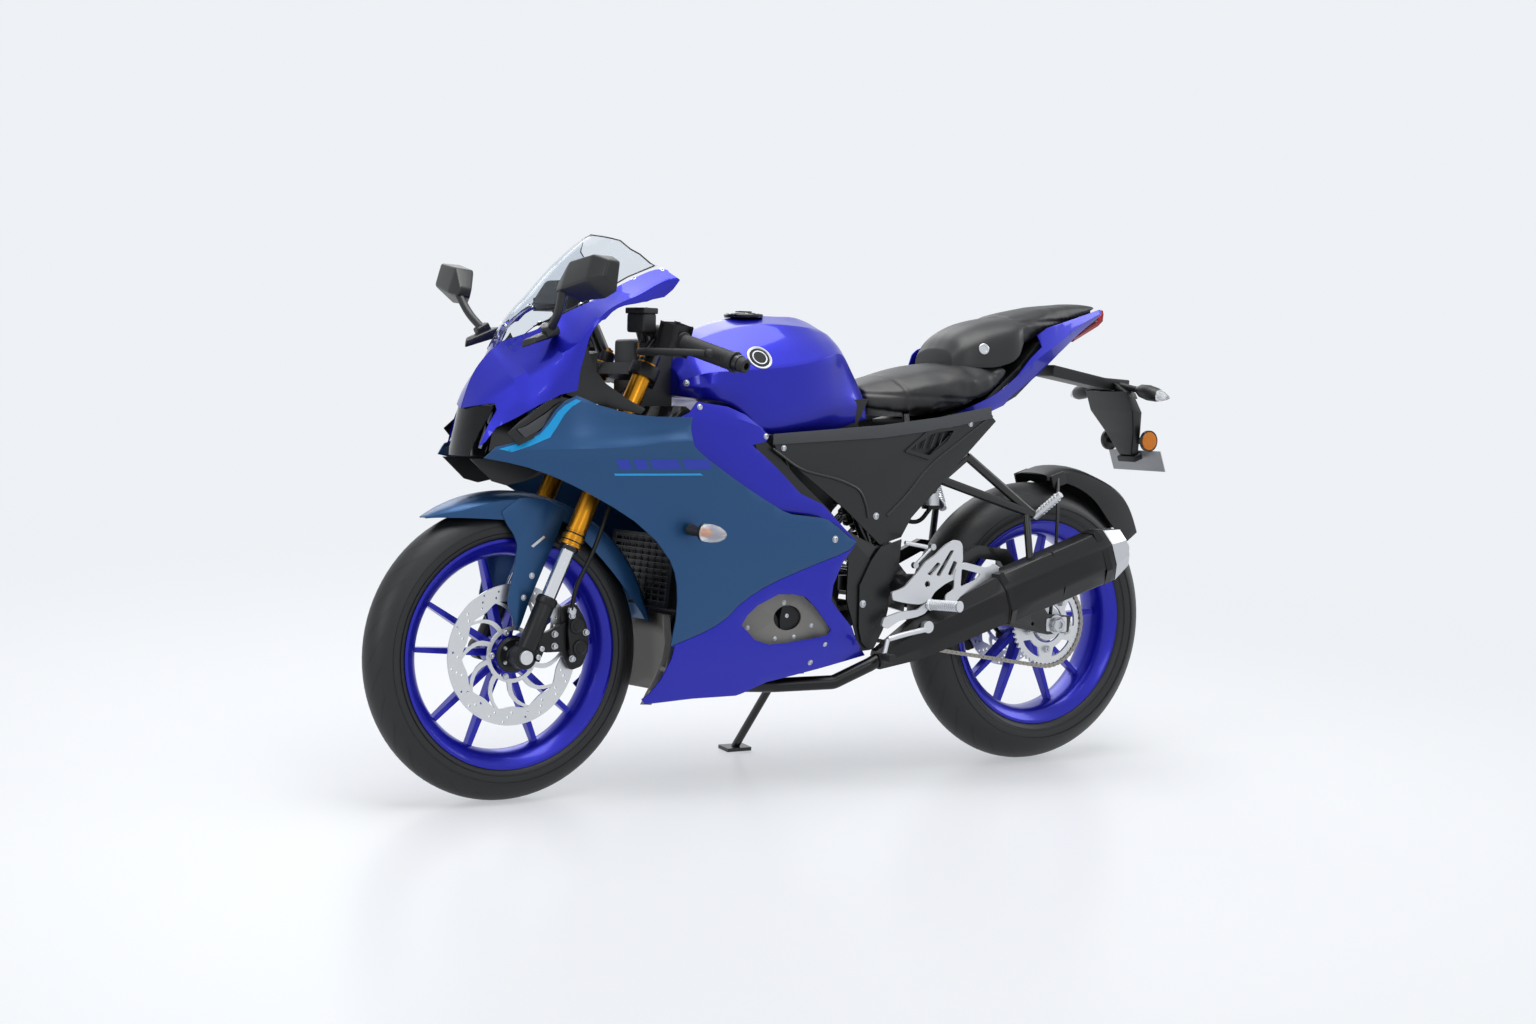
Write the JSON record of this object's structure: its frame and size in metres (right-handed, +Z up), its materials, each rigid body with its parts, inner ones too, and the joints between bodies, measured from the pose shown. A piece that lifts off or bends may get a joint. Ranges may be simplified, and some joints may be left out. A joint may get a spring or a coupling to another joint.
{
  "type": "sport motorcycle",
  "caption": "Faired single-cylinder sport motorcycle leaning on its side stand, with turning wheels, steering and folding stand.",
  "frame": {"origin": "centre of the bounding box on the floor", "axes": "+X forward along the machine, +Y to its left, +Z up; the machine leans to its right, about X, onto its side stand"},
  "size_m": [1.9558, 0.7323, 1.1309],
  "materials": {
    "blue_paint": "gloss",
    "steel_blue": "satin",
    "black_plastic": "matt",
    "grey_plastic": "matt",
    "black_metal": "satin",
    "gold": "satin",
    "chrome": "polished",
    "steel": "brushed",
    "aluminium": "satin",
    "tyre": "matt",
    "seat": "matt",
    "glass": "clear",
    "engine": "satin",
    "red_lens": "gloss",
    "clear_lens": "gloss"
  },
  "bodies": {
    "chassis": {"frame": "black_metal", "engine": "engine", "radiator": "black_metal", "side_fairings": "steel_blue", "belly_fairings": "blue_paint", "fairing_liners": "grey_plastic", "inner_panels": "blue_paint", "nose_cowl": "blue_paint", "headlamp": "glass", "windscreen": "glass", "mirrors": "black_plastic", "inner_cowl": "black_plastic", "fuel_tank": "blue_paint", "fuel_cap": "aluminium", "rider_seat": "seat", "pillion_cover": "black_plastic", "pillion_seat": "seat", "tail_panels": "blue_paint", "under_tail": "black_plastic", "tail_lamp": "red_lens", "side_covers": "black_plastic", "cover_strips": "grey_plastic", "subframe": "black_metal", "swingarm": "black_metal", "rear_axle": "steel", "shock": "black_metal", "chain": "steel", "rear_caliper": "black_metal", "hugger": "black_plastic", "muffler": "black_metal", "muffler_end": "steel", "exhaust_pipe": "black_metal", "rearsets": "aluminium", "plate_holder": "black_plastic", "number_plate": "grey_plastic", "signal_lamps": "clear_lens"},
    "steering_head": {"fork_outers": "gold", "fork_stanchions": "chrome", "fork_castings": "black_metal", "front_axle": "steel", "handlebars": "black_metal", "controls": "black_metal", "front_mudguard": "steel_blue", "front_caliper": "black_metal"},
    "front_wheel_set": {"front_tyre": "tyre", "front_wheel": "blue_paint", "front_disc": "steel"},
    "rear_wheel_set": {"rear_tyre": "tyre", "rear_wheel": "blue_paint", "rear_sprocket": "steel", "rear_disc": "steel"},
    "stand_leg": {"side_stand": "black_metal"}
  },
  "joints": [
    {"name": "steering", "type": "hinge", "parent": "chassis", "child": "steering_head", "pos_m": [0.42709, 0.02761, 0.72527], "axis": [-0.4226, -0.0947, 0.9013], "range_deg": [-27, 27]},
    {"name": "front_wheel_spin", "type": "hinge", "parent": "steering_head", "child": "front_wheel_set", "pos_m": [0.6819, 0.07286, 0.29477], "axis": [0, 0.9945, 0.1045], "continuous": true},
    {"name": "rear_wheel_spin", "type": "hinge", "parent": "chassis", "child": "rear_wheel_set", "pos_m": [-0.6431, 0.07098, 0.31267], "axis": [0, 0.9945, 0.1045], "continuous": true},
    {"name": "side_stand_fold", "type": "hinge", "parent": "chassis", "child": "stand_leg", "pos_m": [-0.0756, -0.04712, 0.21178], "axis": [0.0345, 0.9251, -0.3781], "range_deg": [0, 94]}
  ]
}
